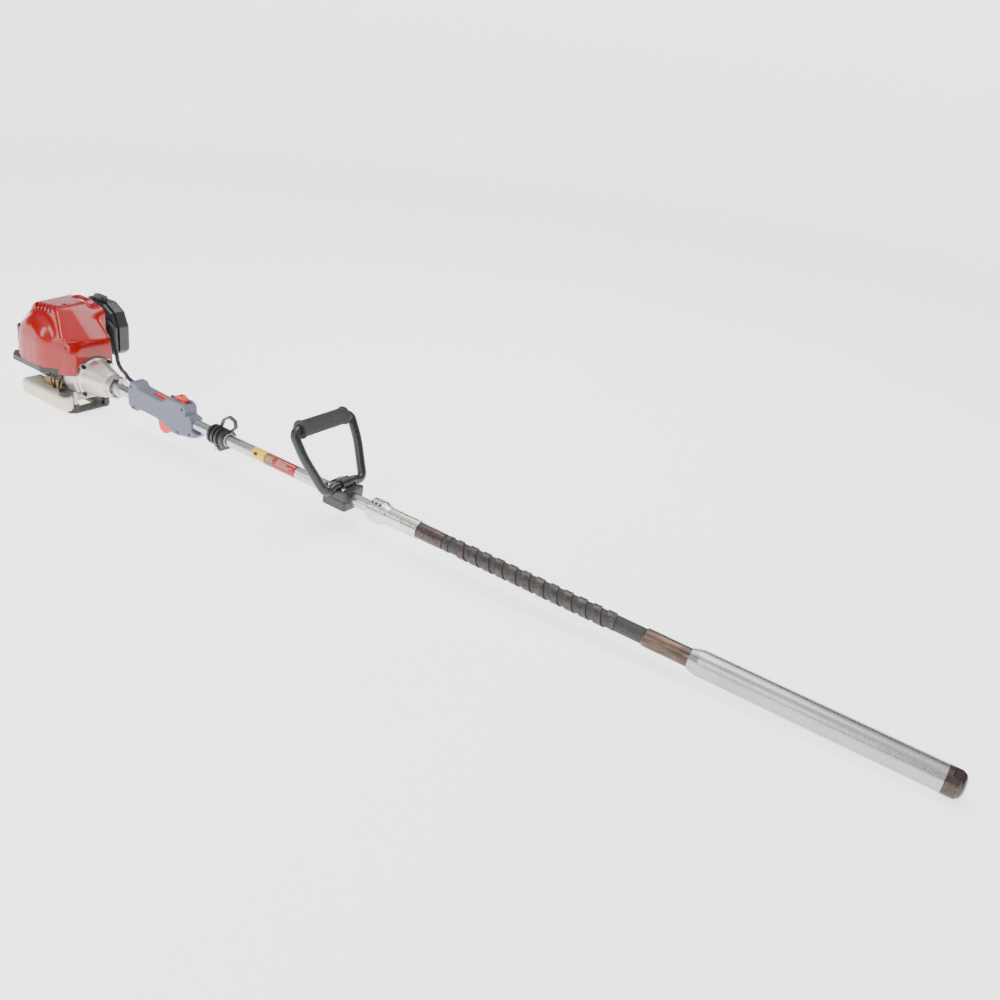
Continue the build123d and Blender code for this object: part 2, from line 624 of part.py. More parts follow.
# ---------------------------------------------------------------- harness clamp
hanger_bore_r = tube_r + 1.2
hanger_start = hanger_x - 20
hanger_end = hanger_x + 25
hanger_rib_r = 21.5
eye_outline = [(-9, 12), (4, 41), (22, 54), (41, 49), (45, 33), (24, 12)]
eye_bar = 5.0
with BuildPart() as hanger_clamp:
    ring_x(hanger_start, hanger_end, 18, hanger_bore_r)
    for rib_x in (-20, -9, 2, 19):
        ring_x(hanger_x + rib_x, hanger_x + rib_x + 6, hanger_rib_r, hanger_bore_r)
    block((hanger_x - 10, -7, -31), (hanger_x + 8, 7, -14))
    with BuildSketch(Plane.XZ.offset(-7)) as eye:
        with BuildLine():
            Polyline(*[(hanger_x + x, z) for x, z in eye_outline], close=True)
        make_face()
        fillet(eye.vertices(), 7)
        offset(amount=-eye_bar, mode=Mode.SUBTRACT)
    extrude(eye.sketch, amount=7)
    ring_x(hanger_start - 3, hanger_end + 3, hanger_bore_r, mode=Mode.SUBTRACT)
    block((hanger_x - 40, -1.2, -40), (hanger_x + 40, 1.2, -10), mode=Mode.SUBTRACT)
    rod((hanger_x - 1, -20, -26), (0, 1, 0), 2.6, 40, mode=Mode.SUBTRACT)
stand(hanger_clamp, "hanger_clamp")

with BuildPart() as hanger_liner:
    ring_x(hanger_start - 1, hanger_end + 1, hanger_bore_r, tube_r + running_gap)
    block((hanger_x - 40, -1.2, -20), (hanger_x + 40, 1.2, -10), mode=Mode.SUBTRACT)
stand(hanger_liner, "hanger_liner")

with BuildPart() as hanger_screw:
    socket_screw((hanger_x - 1, -7, -26), (0, -1, 0), 4.5, 2.55, 4, 15)
stand(hanger_screw, "hanger_screw")

# ---------------------------------------------------------------- loop handle
loop_tube_r = 9.2
bar_z = tube_r + loop_tube_r + 0.8
loop_plane = Plane(origin=(loop_x, 0, bar_z), x_dir=(0, 1, 0),
                   z_dir=(math.cos(math.radians(loop_lean)), 0, math.sin(math.radians(loop_lean))))
loop_height = 125.0
loop_corners = [(-62, loop_height), (-79, loop_height), (-75, 72), (-52, -8), (-30, 0), (30, 0),
                (52, -8), (75, 72), (79, loop_height), (62, loop_height)]
loop_turns = [13, 160, 16, 20, 20, 16, 160, 13]
sleeve_half = 62.0
sleeve_r = 16.0
with BuildPart() as loop_handle:
    with BuildLine(loop_plane) as loop_path:
        FilletPolyline(*loop_corners, radius=loop_turns)
    loop_wire = loop_path.wires()[0]
    with BuildSketch(Plane(origin=loop_wire @ 0, z_dir=loop_wire % 0)):
        Circle(loop_tube_r)
    sweep(path=loop_wire)
stand(loop_handle, "loop_handle")


def on_loop(across, up):
    """Point of the loop plane: across the machine, and up the leaned handle."""
    return loop_plane.from_local_coords(Vector(across, up, 0))


with BuildPart() as loop_grip:
    rod(on_loop(-sleeve_half, loop_height), (0, 1, 0), sleeve_r, 2 * sleeve_half)
    rod(on_loop(-sleeve_half, loop_height), (0, 1, 0), sleeve_r + 2.7, 5)
    rod(on_loop(sleeve_half - 5, loop_height), (0, 1, 0), sleeve_r + 2.7, 5)
    fillet(loop_grip.edges().group_by(Axis.Y)[0], 1.5)
    fillet(loop_grip.edges().group_by(Axis.Y)[-1], 1.5)
stand(loop_grip, "loop_grip")

clamp_half_x = 30.0
clamp_half_y = 28.0
clamp_bolt_x = 17.5
clamp_bolt_y = 20.0
clamp_bore_r = tube_r + running_gap


def clamp_slab(low, high, corner):
    """One level of the handle clamp, drilled for its four bolts."""
    block((loop_x - clamp_half_x, -clamp_half_y, low), (loop_x + clamp_half_x, clamp_half_y, high),
          corner=corner)
    for dx in (-clamp_bolt_x, clamp_bolt_x):
        for dy in (-clamp_bolt_y, clamp_bolt_y):
            rod((loop_x + dx, dy, low - 1), (0, 0, 1), 2.7, high - low + 2, mode=Mode.SUBTRACT)


def clear_clamp():
    """Clears the clamp for the main tube and the handle's cross bar."""
    ring_x(loop_x - 40, loop_x + 40, clamp_bore_r, mode=Mode.SUBTRACT)
    rod((loop_x, -50, bar_z), (0, 1, 0), loop_tube_r, 100, mode=Mode.SUBTRACT)


with BuildPart() as loop_clamp_lower:
    clamp_slab(-19, -0.5, 6)
    clear_clamp()
stand(loop_clamp_lower, "loop_clamp_lower")

clamp_split = 16.0
clamp_top = 20.0
with BuildPart() as loop_clamp_upper:
    clamp_slab(0.5, clamp_split, 6)
    clear_clamp()
    clamp_slab(clamp_split + 0.5, clamp_top, 6)
    rod((loop_x, -13, bar_z), (0, 1, 0), loop_tube_r + 4, 26)
    block((loop_x - 40, -30, clamp_split), (loop_x + 40, 30, clamp_split + 0.5), mode=Mode.SUBTRACT)
    clear_clamp()
stand(loop_clamp_upper, "loop_clamp_upper")

with BuildPart() as loop_clamp_bolts:
    for dx in (-clamp_bolt_x, clamp_bolt_x):
        for dy in (-clamp_bolt_y, clamp_bolt_y):
            socket_screw((loop_x + dx, dy, clamp_top), (0, 0, 1), 4.4, 2.65, 5, 36)
stand(loop_clamp_bolts, "loop_clamp_bolts")

# ---------------------------------------------------------------- coupling
collar_r = 23.5
coupling_start = 762.0
sleeve_end = 877.0
screw_stations = (769, 778, 787)
screw_drop = Vector(0, -0.5, 0.8660254)
with BuildPart() as coupling:
    turned([(coupling_start, tube_r), (coupling_start, 22), (coupling_start + 2, collar_r),
            (791, collar_r), (794, 22), (800, 19.2), (806, 18.2), (839, 18.2), (840, 17.4),
            (842, 17.4), (843, 18.2), (875, 18.2), (sleeve_end, 17.2), (sleeve_end, core_bore_r),
            (tube_end, core_bore_r), (tube_end, tube_r)])
    block((coupling_start - 1, 6, 8), (789, 8, 30), mode=Mode.SUBTRACT)
    for screw_x in screw_stations:
        rod(Vector(screw_x, 0, 0) + screw_drop * 14, screw_drop, 2.6, 14, mode=Mode.SUBTRACT)
stand(coupling, "coupling")

with BuildPart() as shaft_screws:
    for screw_x in screw_stations:
        rod(Vector(screw_x, 0, 0) + screw_drop * 14, screw_drop, 2.55, 8.5)
    for spot in grip_screw_spots:
        rod((spot[0], -14, spot[1]), (0, -1, 0), 3.4, 2.5)
        rod((spot[0], -14, spot[1]), (0, 1, 0), 1.75, 24)
stand(shaft_screws, "shaft_screws")

# ---------------------------------------------------------------- hose
rear_ferrule_end = 936.0
ring_start = 943.0
ring_end = 951.0
wrap_start = 960.0
wrap_end = 1302.0
front_ferrule = 1347.0
adapter_start = 1380.0
head_start = 1426.0


def spiral_strip(start, end):
    """Flat steel strip wound on the hose between two X stations."""
    path = Helix(wrap_pitch, end - start - wrap_width, hose_r + 0.2 + wrap_thick / 2,
                 center=(start + wrap_width / 2, 0, 0), direction=(1, 0, 0))
    foot = path @ 0
    outward = Vector(0, foot.Y, foot.Z).normalized()
    with BuildSketch(Plane(origin=foot, x_dir=outward, z_dir=path % 0)) as strip:
        Rectangle(wrap_thick, wrap_width * 0.96)
    sweep(strip.sketch, path=path, is_frenet=True)


with BuildPart() as hose_rear:
    ring_x(sleeve_end, bend_x - 1, hose_r, core_bore_r)
    with BuildSketch(Plane.XZ) as seat:
        with Locations((bend_x, 0)):
            Circle(hose_r + seat_gap)
        with Locations((bend_x, -50)):
            Rectangle(200, 100, mode=Mode.SUBTRACT)
    revolve(seat.sketch, axis=Axis.X, mode=Mode.SUBTRACT)
stand(hose_rear, "hose_rear")

with BuildPart() as hose_front:
    with BuildSketch(Plane.XZ) as ball:
        with Locations((bend_x, 0)):
            Circle(hose_r)
        with Locations((bend_x, -50)):
            Rectangle(200, 100, mode=Mode.SUBTRACT)
    revolve(ball.sketch, axis=Axis.X)
    ring_x(bend_x, adapter_start, hose_r)
    ring_x(bend_x - 20, adapter_start + 1, core_bore_r, mode=Mode.SUBTRACT)
stand(hose_front, "hose_front")

with BuildPart() as hose_wrap_rear:
    spiral_strip(wrap_start, bend_x - 4)
stand(hose_wrap_rear, "hose_wrap_rear")

with BuildPart() as hose_wrap_front:
    spiral_strip(bend_x + 7, wrap_end)
stand(hose_wrap_front, "hose_wrap_front")

with BuildPart() as rear_ferrule:
    turned([(sleeve_end, hose_r), (sleeve_end, 15.8), (rear_ferrule_end - 20, 15.8),
            (rear_ferrule_end, 15.2), (rear_ferrule_end, hose_r)])
    ring_x(ring_start, ring_end, 15.6, hose_r)
stand(rear_ferrule, "rear_ferrule")

with BuildPart() as head_adapter:
    turned([(front_ferrule, hose_r), (front_ferrule, 15.2), (front_ferrule + 3, 16.4),
            (adapter_start, 16.4), (adapter_start, hose_r)])
    turned([(adapter_start, core_bore_r), (adapter_start, 16.2), (head_start + 4, 16.2),
            (head_start + 4, core_bore_r)])
stand(head_adapter, "head_adapter")

with BuildPart() as drive_shaft:
    ring_x(-34, tube_end + 16, shaft_r)
    ring_x(tube_end + 16, bend_x - hose_r - 2, core_r)
stand(drive_shaft, "drive_shaft")

rotor_start = 1470.0
rotor_end = 1780.0
with BuildPart() as flex_core:
    ring_x(bend_x + 4, rotor_start - 8, core_r)
stand(flex_core, "flex_core")

# ---------------------------------------------------------------- poker head
head_bore_r = 17.5
head_bearing_w = 16.0
tip_start = 1823.0
tip_end = 1851.0
with BuildPart() as head_tube:
    turned([(head_start + 4, 16.2), (head_start + 4, 18.5), (head_start + 19, 22.3),
            (head_start + 21, head_r), (tip_start, head_r), (tip_start, head_bore_r),
            (rotor_start - 9, head_bore_r), (rotor_start - 9, core_bore_r),
            (head_start + 4, core_bore_r)])
stand(head_tube, "head_tube")

with BuildPart() as head_tip:
    turned([(tip_start, 0), (tip_start, head_r), (1836, head_r), (1842, 22.3), (1848, 18),
            (tip_end, 12), (tip_end, 0)])
    ring_x(rotor_end + 3, tip_start, head_bore_r)
    ring_x(rotor_end + 2, rotor_end + 8, 8, mode=Mode.SUBTRACT)
    block((1831, -30, 16.5), (1860, 30, 30), mode=Mode.SUBTRACT)
stand(head_tip, "head_tip")

with BuildPart() as rotor_bearings:
    for station in (rotor_start - 8, rotor_end - head_bearing_w):
        ring_x(station, station + head_bearing_w, head_bore_r, 6 + running_gap)
stand(rotor_bearings, "rotor_bearings")

with BuildPart() as eccentric_rotor:
    ring_x(rotor_start - 8, rotor_end + 4, 6)
    with BuildSketch(Plane.YZ.offset(rotor_start + 9)) as weight:
        Circle(head_bore_r - 2.5)
        with Locations((0, 12)):
            Rectangle(60, 20, mode=Mode.SUBTRACT)
    extrude(weight.sketch, amount=rotor_end - rotor_start - 26)
stand(eccentric_rotor, "eccentric_rotor")
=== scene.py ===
"""Looks of the hand-held petrol concrete vibrator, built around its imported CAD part.

Shapes are drawn in the shaft frame of the CAD source, in millimetres: X runs along the drive
shaft from the engine to the poker tip, Z is up, X = 0 is the front rim of the clutch housing.
row() turns a shaft-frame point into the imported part's frame, in metres.
"""
import bpy
import math
import numpy as np
from mathutils import Matrix, Vector


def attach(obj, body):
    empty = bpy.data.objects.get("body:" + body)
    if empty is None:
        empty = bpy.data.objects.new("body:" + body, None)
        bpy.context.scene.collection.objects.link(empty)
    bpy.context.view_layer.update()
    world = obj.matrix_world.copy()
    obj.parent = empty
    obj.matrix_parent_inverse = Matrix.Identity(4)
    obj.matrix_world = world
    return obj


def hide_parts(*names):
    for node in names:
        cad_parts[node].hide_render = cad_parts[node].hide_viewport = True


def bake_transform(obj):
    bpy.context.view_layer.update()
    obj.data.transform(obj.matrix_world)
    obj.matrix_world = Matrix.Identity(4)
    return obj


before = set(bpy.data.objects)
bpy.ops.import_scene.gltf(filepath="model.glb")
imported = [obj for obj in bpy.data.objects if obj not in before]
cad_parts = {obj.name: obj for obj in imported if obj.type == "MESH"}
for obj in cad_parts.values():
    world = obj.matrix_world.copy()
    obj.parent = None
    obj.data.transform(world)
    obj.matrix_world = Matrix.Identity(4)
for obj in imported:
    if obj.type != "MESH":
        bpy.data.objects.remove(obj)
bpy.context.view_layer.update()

# ---------------------------------------------------------------- shaft frame
BASE_X, GUARD_DEPTH = -150.0, 88.0
HEAD_R, HEAD_TOUCH_X = 22.5, 1842.0
TILT = math.atan2(GUARD_DEPTH - HEAD_R, HEAD_TOUCH_X - BASE_X)
COS, SIN = math.cos(TILT), math.sin(TILT)
MM = 0.001


def rows(points):
    """Shaft-frame points in mm, one per line, as packed-frame points in metres."""
    p = np.asarray(points, float).reshape(-1, 3)
    x, z = p[:, 0] - BASE_X, p[:, 2] + GUARD_DEPTH
    return np.stack([x * COS + z * SIN, p[:, 1], z * COS - x * SIN], axis=1) * MM


def row(x, y, z):
    """One shaft-frame point in mm as a packed-frame Vector in metres."""
    return Vector(rows([(x, y, z)])[0])


def heading(x, y, z):
    """A shaft-frame direction as a packed-frame Vector."""
    return Vector((x * COS + z * SIN, y, z * COS - x * SIN))


# ---------------------------------------------------------------- materials
def material(name, main, other, rough, grain, metal=0.0, spread=0.12, bump=0.1, stretch=(1, 1, 1),
             coat=0.0, edge=0.0, bands=None, glow=0.0, blotch=0.0):
    """Procedural finish: two tones by fine noise, roughness by a second one, grain as bump."""
    made = bpy.data.materials.new(name)
    made.use_nodes = True
    nodes, links = made.node_tree.nodes, made.node_tree.links
    shader = nodes["Principled BSDF"]
    place = nodes.new("ShaderNodeTexCoord")
    turn = nodes.new("ShaderNodeMapping")
    turn.inputs["Rotation"].default_value = (0, -TILT, 0)
    turn.inputs["Scale"].default_value = stretch
    links.new(place.outputs["Object"], turn.inputs["Vector"])

    def noise(scale, detail):
        made_noise = nodes.new("ShaderNodeTexNoise")
        made_noise.inputs["Scale"].default_value = scale
        made_noise.inputs["Detail"].default_value = detail
        links.new(turn.outputs["Vector"], made_noise.inputs["Vector"])
        return made_noise

    tone = noise(grain, 6)
    ramp = nodes.new("ShaderNodeValToRGB")
    ramp.color_ramp.elements[0].position = 0.38
    ramp.color_ramp.elements[1].position = 0.66
    ramp.color_ramp.elements[0].color = (*other, 1)
    ramp.color_ramp.elements[1].color = (*main, 1)
    links.new(tone.outputs["Fac"], ramp.inputs["Fac"])
    colour = ramp.outputs["Color"]
    if blotch > 0:
        wide = noise(blotch, 3)
        dull = nodes.new("ShaderNodeMix")
        dull.data_type = "RGBA"
        dull.blend_type = "MULTIPLY"
        limits = nodes.new("ShaderNodeMapRange")
        limits.inputs["From Min"].default_value = 0.45
        limits.inputs["From Max"].default_value = 0.7
        limits.inputs["To Max"].default_value = 0.5
        links.new(wide.outputs["Fac"], limits.inputs["Value"])
        links.new(limits.outputs["Result"], dull.inputs["Factor"])
        links.new(colour, dull.inputs["A"])
        dull.inputs["B"].default_value = (0.72, 0.66, 0.6, 1)
        colour = dull.outputs["Result"]
    links.new(colour, shader.inputs["Base Color"])
    worn = noise(grain * 0.4, 4)
    level = nodes.new("ShaderNodeMapRange")
    level.inputs["To Min"].default_value = max(0.02, rough - spread)
    level.inputs["To Max"].default_value = min(1.0, rough + spread)
    links.new(worn.outputs["Fac"], level.inputs["Value"])
    links.new(level.outputs["Result"], shader.inputs["Roughness"])
    shader.inputs["Metallic"].default_value = metal
    shader.inputs["Coat Weight"].default_value = coat
    shader.inputs["Coat Roughness"].default_value = 0.04
    height = tone.outputs["Fac"]
    if bands:
        wave = nodes.new("ShaderNodeTexWave")
        wave.bands_direction = "X"
        wave.inputs["Scale"].default_value = bands
        wave.inputs["Distortion"].default_value = 0.6
        wave.inputs["Detail"].default_value = 2
        links.new(turn.outputs["Vector"], wave.inputs["Vector"])
        both = nodes.new("ShaderNodeMath")
        both.operation = "ADD"
        links.new(wave.outputs["Fac"], both.inputs[0])
        links.new(height, both.inputs[1])
        height = both.outputs["Value"]
    relief = nodes.new("ShaderNodeBump")
    relief.inputs["Strength"].default_value = bump
    relief.inputs["Distance"].default_value = 0.0006
    links.new(height, relief.inputs["Height"])
    if edge > 0:
        bevel = nodes.new("ShaderNodeBevel")
        bevel.inputs["Radius"].default_value = edge * MM
        links.new(bevel.outputs["Normal"], relief.inputs["Normal"])
    links.new(relief.outputs["Normal"], shader.inputs["Normal"])
    if glow > 0:
        shader.inputs["Subsurface Weight"].default_value = glow
        shader.inputs["Subsurface Radius"].default_value = (0.012, 0.008, 0.004)
    return made


FINISHES = {
    "red_cover": material("red_cover", (0.3, 0.0, 0.0), (0.27, 0.0, 0.0), 0.22, 90,
                          spread=0.04, bump=0.02, coat=0.2, edge=1.2),
    "cast_alloy": material("cast_alloy", (0.64, 0.62, 0.59), (0.5, 0.48, 0.46), 0.42, 420,
                           metal=0.85, bump=0.22, edge=1.0, blotch=14),
    "turned_alloy": material("turned_alloy", (0.68, 0.66, 0.63), (0.56, 0.54, 0.51), 0.34, 300,
                             metal=0.9, bump=0.16, edge=0.8, bands=420, stretch=(1, 0.2, 0.2)),
    "tube_alloy": material("tube_alloy", (0.54, 0.55, 0.56), (0.48, 0.49, 0.5), 0.24, 500,
                           metal=0.92, spread=0.06, bump=0.05, stretch=(0.08, 1, 1)),
    "steel": material("steel", (0.52, 0.51, 0.5), (0.42, 0.41, 0.4), 0.3, 260, metal=1.0,
                      bump=0.08, edge=0.3),
    "black_steel": material("black_steel", (0.012, 0.012, 0.013), (0.03, 0.028, 0.027), 0.38, 300,
                            metal=0.5, bump=0.1, edge=0.4),
    "zinc_steel": material("zinc_steel", (0.7, 0.72, 0.66), (0.58, 0.6, 0.57), 0.22, 120,
                           metal=1.0, spread=0.08, bump=0.06, edge=0.6, bands=500,
                           stretch=(1, 0.3, 0.3), blotch=22),
    "head_steel": material("head_steel", (0.42, 0.43, 0.42), (0.34, 0.35, 0.34), 0.27, 900,
                           metal=1.0, spread=0.1, bump=0.08, bands=330, stretch=(1, 0.15, 0.15),
                           blotch=9),
    "dark_steel": material("dark_steel", (0.055, 0.045, 0.042), (0.09, 0.07, 0.06), 0.36, 240,
                           metal=0.8, bump=0.14, edge=0.6, blotch=30),
    "bronze_steel": material("bronze_steel", (0.16, 0.105, 0.075), (0.07, 0.05, 0.042), 0.36, 150,
                             metal=0.85, bump=0.2, edge=0.5, stretch=(0.25, 1, 1)),
    "strip_steel": material("strip_steel", (0.03, 0.031, 0.036), (0.075, 0.06, 0.05), 0.42, 130,
                            metal=0.6, bump=0.16),
    "hose_rubber": material("hose_rubber", (0.02, 0.019, 0.02), (0.034, 0.032, 0.032), 0.62, 700,
                            bump=0.5, stretch=(0.5, 1.6, 1.6)),
    "black_plastic": material("black_plastic", (0.012, 0.012, 0.013), (0.019, 0.019, 0.02), 0.36,
                              420, bump=0.12, edge=0.8),
    "handle_black": material("handle_black", (0.013, 0.0135, 0.014), (0.02, 0.0205, 0.021), 0.3,
                             380, bump=0.12, edge=0.8),
    "foam_grip": material("foam_grip", (0.014, 0.0145, 0.015), (0.026, 0.026, 0.027), 0.68, 900,
                          bump=0.3),
    "grip_grey": material("grip_grey", (0.125, 0.135, 0.185), (0.105, 0.115, 0.16), 0.5, 900,
                          bump=0.16, edge=1.2),
    "orange_plastic": material("orange_plastic", (0.8, 0.02, 0.0), (0.74, 0.017, 0.0), 0.36,
                               300, bump=0.05, edge=0.8),
    "tank_plastic": material("tank_plastic", (0.76, 0.71, 0.56), (0.7, 0.64, 0.47), 0.36, 34,
                             bump=0.05, edge=1.5, glow=0.35),
    "liner_plastic": material("liner_plastic", (0.66, 0.62, 0.52), (0.58, 0.54, 0.45), 0.45, 200,
                              bump=0.08),
    "cable_black": material("cable_black", (0.012, 0.012, 0.012), (0.024, 0.024, 0.024), 0.4, 300,
                            bump=0.2, bands=260),
    "filter_foam": material("filter_foam", (0.03, 0.03, 0.032), (0.012, 0.012, 0.013), 0.9, 900,
                            bump=0.6),
    "clear_bulb": material("clear_bulb", (0.72, 0.7, 0.62), (0.66, 0.63, 0.55), 0.2, 120,
                           bump=0.03, glow=0.3),
    "ceramic": material("ceramic", (0.8, 0.78, 0.74), (0.72, 0.7, 0.66), 0.25, 120, bump=0.03),
    "label_yellow": material("label_yellow", (0.85, 0.55, 0.02), (0.78, 0.5, 0.02), 0.35, 400,
                             bump=0.02),
    "label_brown": material("label_brown", (0.28, 0.09, 0.02), (0.22, 0.07, 0.016), 0.35, 400,
                            bump=0.02),
    "label_red": material("label_red", (0.36, 0.01, 0.008), (0.3, 0.008, 0.007), 0.33, 400,
                          bump=0.02),
    "label_pale": material("label_pale", (0.5, 0.36, 0.32), (0.42, 0.3, 0.26), 0.35, 400,
                           bump=0.02),
    "heat_bronze": material("heat_bronze", (0.3, 0.17, 0.06), (0.16, 0.09, 0.04), 0.32, 80,
                            metal=0.9, bump=0.12, edge=0.6, blotch=30),
}

NODE_FINISH = {"clutch_housing": "turned_alloy", "rear_ferrule": "dark_steel"}
for node_name, cad_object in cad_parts.items():
    for place in cad_object.material_slots:
        wanted = NODE_FINISH.get(node_name) or (place.material.name.split(".")[0]
                                                if place.material else "steel")
        place.material = FINISHES.get(wanted, FINISHES["steel"])


# ---------------------------------------------------------------- meshes
def mesh_piece(name, points, faces, finish, smooth=35.0):
    """A mesh piece from shaft-frame points, its sharp edges kept above an angle."""
    data = bpy.data.meshes.new(name)
    data.from_pydata([tuple(p) for p in rows(points)], [], [tuple(f) for f in faces])
    data.validate()
    data.update()
    data.materials.append(FINISHES[finish])
    made = bpy.data.objects.new(name, data)
    bpy.context.scene.collection.objects.link(made)
    data.shade_smooth()
    data.set_sharp_from_angle(angle=math.radians(smooth))
    return made


def ring_faces(rings, around, caps=True):
    """Faces joining rings of equally many points, with the two ends capped if asked for."""
    faces = []
    for i in range(rings - 1):
        a, b = i * around, (i + 1) * around
        for k in range(around):
            n = (k + 1) % around
            faces.append((a + k, a + n, b + n, b + k))
    if caps:
        faces.append(tuple(range(around))[::-1])
        faces.append(tuple((rings - 1) * around + k for k in range(around)))
    return faces


def lathe(name, profile, finish, origin=(0, 0, 0), axis=(1, 0, 0), around=96, flute=None):
    """Turned piece: (along, radius) pairs about an axis, with flutes where flute says."""
    along = Vector(axis).normalized()
    side = along.orthogonal().normalized()
    up = along.cross(side)
    points = []
    for s, radius in profile:
        for k in range(around):
            angle = 2 * math.pi * k / around
            r = radius + (flute(s, angle) if flute else 0.0)
            points.append(Vector(origin) + along * s
                          + side * (r * math.cos(angle)) + up * (r * math.sin(angle)))
    return mesh_piece(name, points, ring_faces(len(profile), around), finish)


def pipe(name, route, radius, finish, around=16, steps=10):
    """Round pipe along a smooth curve through shaft-frame points."""
    p = np.asarray(route, float)
    p = np.vstack([2 * p[0] - p[1], p, 2 * p[-1] - p[-2]])
    path = []
    for a, b, c, d in zip(p, p[1:], p[2:], p[3:]):
        for t in np.linspace(0, 1, steps, endpoint=False):
            path.append(0.5 * (2 * b + (c - a) * t + (2 * a - 5 * b + 4 * c - d) * t**2
                               + (3 * b - a - 3 * c + d) * t**3))
    path.append(p[-2])
    path = np.array(path)
    tangents = np.gradient(path, axis=0)
    tangents /= np.linalg.norm(tangents, axis=1)[:, None]
    side = np.cross(tangents[0], (0.31, 0.17, 0.93))
    points = []
    for centre, along in zip(path, tangents):
        side = side - along * (side @ along)
        side /= np.linalg.norm(side)
        up = np.cross(along, side)
        for k in range(around):
            angle = 2 * math.pi * k / around
            points.append(centre + radius * (side * math.cos(angle) + up * math.sin(angle)))
    return mesh_piece(name, points, ring_faces(len(path), around), finish, 60)


def cut(piece, tool):
    """Takes a tool mesh out of a mesh piece for good, and throws the tool away."""
    step = piece.modifiers.new("cut", "BOOLEAN")
    step.operation, step.solver, step.object = "DIFFERENCE", "MANIFOLD", tool
    bpy.context.view_layer.update()
    evaluated = piece.evaluated_get(bpy.context.evaluated_depsgraph_get())
    data = bpy.data.meshes.new_from_object(evaluated)
    piece.modifiers.clear()
    old, piece.data = piece.data, data
    bpy.data.meshes.remove(old)
    bpy.data.objects.remove(tool, do_unlink=True)


def box_piece(name, low, high, finish, lean=(0, 0)):
    """Box between two corners, its top pushed by lean in X and Y."""
    (x0, y0, z0), (x1, y1, z1) = low, high
    points = [(x0, y0, z0), (x1, y0, z0), (x1, y1, z0), (x0, y1, z0)]
    points += [(x + lean[0], y + lean[1], z1) for x, y, _ in points]
    return mesh_piece(name, points, ring_faces(2, 4), finish)


# ---------------------------------------------------------------- red engine cover
COWL_WALL = 2.6
COWL_LOW = 25.0
COWL_HEART = np.array([-168.0, -18.0, 66.0])
OUTER_GRID, INNER_GRID = 72, 36
RAY_LENGTH, HALVINGS = 260.0, 26
TOP_VENTS, TOP_VENT_X, TOP_VENT_PITCH, TOP_VENT_WIDTH = 5, -214.0, 12.5, 6.0
CORNER_VENTS, CORNER_VENT_Z, CORNER_VENT_PITCH, CORNER_VENT_HEIGHT = 7, 33.0, 10.0, 4.6


def slab(p, normal, through):
    """Signed distance from a plane: positive on the side that its normal points to."""
    n = np.asarray(normal, float)
    n /= np.linalg.norm(n)
    return (p - np.asarray(through, float)) @ n


def soft_max(values, k):
    """Largest of several distances, with rounded edges of about radius k."""
    total = values[0]
    for value in values[1:]:
        h = np.clip(0.5 + 0.5 * (value - total) / k, 0, 1)
        total = total + (value - total) * h + k * h * (1 - h)
    return total


def soft_min(a, b, k):
    """Smaller of two distances, with a rounded inside corner of about radius k."""
    return -soft_max([-a, -b], k)


def cowl_field(p):
    """Distance field of the cover: muffler bulge, front block, scoop and side block."""
    bulge = soft_max([
        slab(p, (-1, 0, 0.1), (-258, 0, 30)), slab(p, (0, -1, 0.06), (-180, -93, 60)),
        slab(p, (-0.62, -0.78, 0.05), (-250, -82, 60)), slab(p, (-0.72, 0, 0.7), (-247, 0, 116)),
        slab(p, (0, -0.72, 0.7), (0, -80, 116)), slab(p, (0, -0.15, 1), (0, -50, 139)),
        slab(p, (-0.5, -0.5, 0.7), (-242, -72, 112)), slab(p, (0.72, -0.7, 0.1), (-126, -80, 60)),
        slab(p, (0.5, -0.45, 0.72), (-142, -72, 112)), slab(p, (1, 0, 0), (-104, 0, 60)),
        slab(p, (0, 1, 0), (0, 80, 60))], 20)
    front = soft_max([
        slab(p, (1, 0, 0.05), (-84, 0, 50)), slab(p, (0.35, -1, 0.14), (-98, -62, 40)),
        slab(p, (0.74, 0, 0.67), (-96, 0, 90)), slab(p, (0.5, -0.5, 0.7), (-98, -44, 94)),
        slab(p, (0, -0.5, 0.87), (-120, -50, 128)), slab(p, (0, 0, 1), (0, 0, 146)),
        slab(p, (-1, 0, 0), (-190, 0, 0)), slab(p, (0, 1, 0), (0, 80, 60))], 18)
    scoop = soft_max([
        slab(p, (-0.1, -0.08, 1), (-180, 0, 156)), slab(p, (-1, 0, 0.3), (-230, 0, 140)),
        slab(p, (0, -1, 0.35), (-180, -53, 140)), slab(p, (0.62, -0.35, 0.62), (-122, -22, 147)),
        slab(p, (0.66, 0.1, 0.7), (-108, 10, 138)), slab(p, (0.25, 1, 0.4), (-180, 44, 140)),
        slab(p, (0, 0, -1), (0, 0, 90))], 8)
    block = soft_max([
        slab(p, (0, 0, 1), (0, 0, 160)), slab(p, (-1, 0, 0.25), (-204, 0, 150)),
        slab(p, (1, 0, 0.35), (-142, 0, 146)), slab(p, (0, -1, 0.4), (0, 28, 150)),
        slab(p, (0, 1, 0), (0, 80, 60)), slab(p, (0, 0, -1), (0, 0, 90))], 7)
    body = soft_min(bulge, front, 7)
    body = soft_min(body, scoop, 7)
    return soft_min(body, block, 5)


